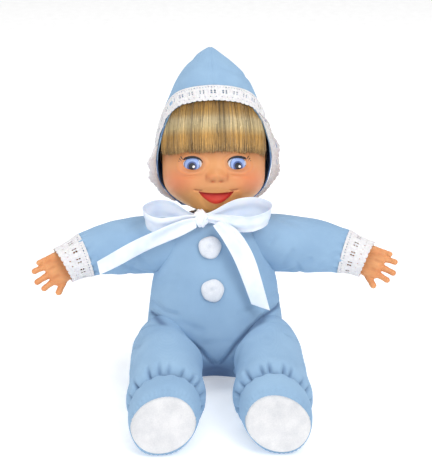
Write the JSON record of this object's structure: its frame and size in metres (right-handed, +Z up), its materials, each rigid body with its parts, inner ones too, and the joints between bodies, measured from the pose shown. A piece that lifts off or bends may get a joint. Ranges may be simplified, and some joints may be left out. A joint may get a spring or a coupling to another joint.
{
  "type": "interactive baby doll",
  "caption": "Seated soft-bodied baby doll with a vinyl head and hands, pointed lace-trimmed hood, satin bow and a sound module under a back flap.",
  "frame": {"origin": "the middle of the flat patch under the seat, on the floor the doll sits on", "axes": "+Z up; the doll faces -Y, with its legs pointing forward; +X towards the doll's own left hand"},
  "size_m": [0.3166, 0.2773, 0.2835],
  "materials": {
    "blue_knit": "soft matt pale-blue brushed knit",
    "white_felt": "white felt",
    "lace": "white cotton eyelet lace",
    "satin": "white satin ribbon",
    "fibrefill": "white polyester fibrefill",
    "skin_vinyl": "soft skin-coloured vinyl with painted features",
    "blond_hair": "fine blond synthetic hair",
    "eye_glaze": "glossy blue eye with a painted iris",
    "white_plastic": "white moulded plastic",
    "black_plastic": "black moulded plastic",
    "board_green": "green circuit board",
    "steel": "plated steel",
    "battery_wrap": "printed battery sleeve, left plain",
    "elastic_white": "white elastic braid"
  },
  "bodies": {
    "torso": {"torso_cover": "blue_knit", "torso_stuffing": "fibrefill", "seat_pellet_bag": "white_felt", "felt_button_upper": "white_felt", "felt_button_lower": "white_felt", "loop_strip": "white_felt", "module_front_case": "white_plastic", "module_rear_case": "white_plastic", "case_screw_1": "steel", "case_screw_2": "steel", "battery_1": "battery_wrap", "battery_2": "battery_wrap", "battery_3": "battery_wrap", "battery_contact_upper": "steel", "battery_contact_lower": "steel", "circuit_board": "board_green", "speaker": "black_plastic", "speaker_lead": "black_plastic", "button_spring": "steel", "ribbon_neckband": "satin", "ribbon_knot": "satin", "ribbon_loop_left": "satin", "ribbon_loop_right": "satin", "ribbon_tail_left": "satin", "ribbon_tail_right": "satin"},
    "neck": {"neck_flange": "white_plastic", "neck_tie": "black_plastic"},
    "head": {"head_shell": "skin_vinyl", "eye_left": "eye_glaze", "eye_right": "eye_glaze", "hair_fringe": "blond_hair", "hair_crown": "blond_hair", "hood": "blue_knit", "hood_lace": "lace"},
    "arm_left": {"sleeve_left": "blue_knit", "arm_stuffing_left": "fibrefill", "cuff_lace_left": "lace", "hand_left": "skin_vinyl", "wrist_tie_left": "black_plastic"},
    "arm_right": {"sleeve_right": "blue_knit", "arm_stuffing_right": "fibrefill", "cuff_lace_right": "lace", "hand_right": "skin_vinyl", "wrist_tie_right": "black_plastic"},
    "leg_left": {"leg_cover_left": "blue_knit", "bootee_left": "blue_knit", "leg_stuffing_left": "fibrefill", "ankle_elastic_left": "elastic_white", "sole_left": "white_felt"},
    "leg_right": {"leg_cover_right": "blue_knit", "bootee_right": "blue_knit", "leg_stuffing_right": "fibrefill", "ankle_elastic_right": "elastic_white", "sole_right": "white_felt"},
    "back_flap": {"back_flap": "blue_knit", "hook_strip": "white_felt"},
    "battery_door": {"battery_door": "white_plastic", "battery_door_screw": "steel"},
    "power_switch": {"power_switch": "black_plastic"},
    "tummy_button": {"tummy_button": "white_plastic"}
  },
  "joints": [
    {"name": "neck_nod", "type": "hinge", "parent": "torso", "child": "neck", "pos_m": [0, 0.01727, 0.14364], "axis": [1, 0, 0], "range_deg": [-6, 6]},
    {"name": "neck_turn", "type": "hinge", "parent": "neck", "child": "head", "pos_m": [0, 0.01727, 0.14364], "axis": [0, 0.3746, 0.9272], "range_deg": [-45, 45]},
    {"name": "shoulder_left", "type": "hinge", "parent": "torso", "child": "arm_left", "pos_m": [0.049, 0.00735, 0.11631], "axis": [-0.2079, -0.9403, 0.2696], "range_deg": [-30, 26]},
    {"name": "shoulder_right", "type": "hinge", "parent": "torso", "child": "arm_right", "pos_m": [-0.049, 0.00735, 0.11631], "axis": [-0.2079, 0.9403, -0.2696], "range_deg": [-30, 26]},
    {"name": "hip_left", "type": "hinge", "parent": "torso", "child": "leg_left", "pos_m": [0.038, -0.036, 0.033], "axis": [-1, 0, 0], "range_deg": [-70, 5]},
    {"name": "hip_right", "type": "hinge", "parent": "torso", "child": "leg_right", "pos_m": [-0.038, -0.036, 0.033], "axis": [-1, 0, 0], "range_deg": [-70, 5]},
    {"name": "back_flap_hinge", "type": "hinge", "parent": "torso", "child": "back_flap", "pos_m": [0, 0.03871, 0.08235], "axis": [1, 0, 0], "range_deg": [0, 120]},
    {"name": "battery_door_lift", "type": "slide", "parent": "torso", "child": "battery_door", "axis": [0, 0.9613, -0.2756], "range_m": [0, 0.008]},
    {"name": "power_switch_slide", "type": "slide", "parent": "torso", "child": "power_switch", "axis": [1, 0, 0], "range_m": [0, 0.007]},
    {"name": "tummy_button_press", "type": "slide", "parent": "torso", "child": "tummy_button", "axis": [0, 0.9613, -0.2756], "range_m": [0, 0.0025], "stiffness_N_per_m": 600, "springref_m": -0.002, "deforming": ["button_spring"]}
  ]
}
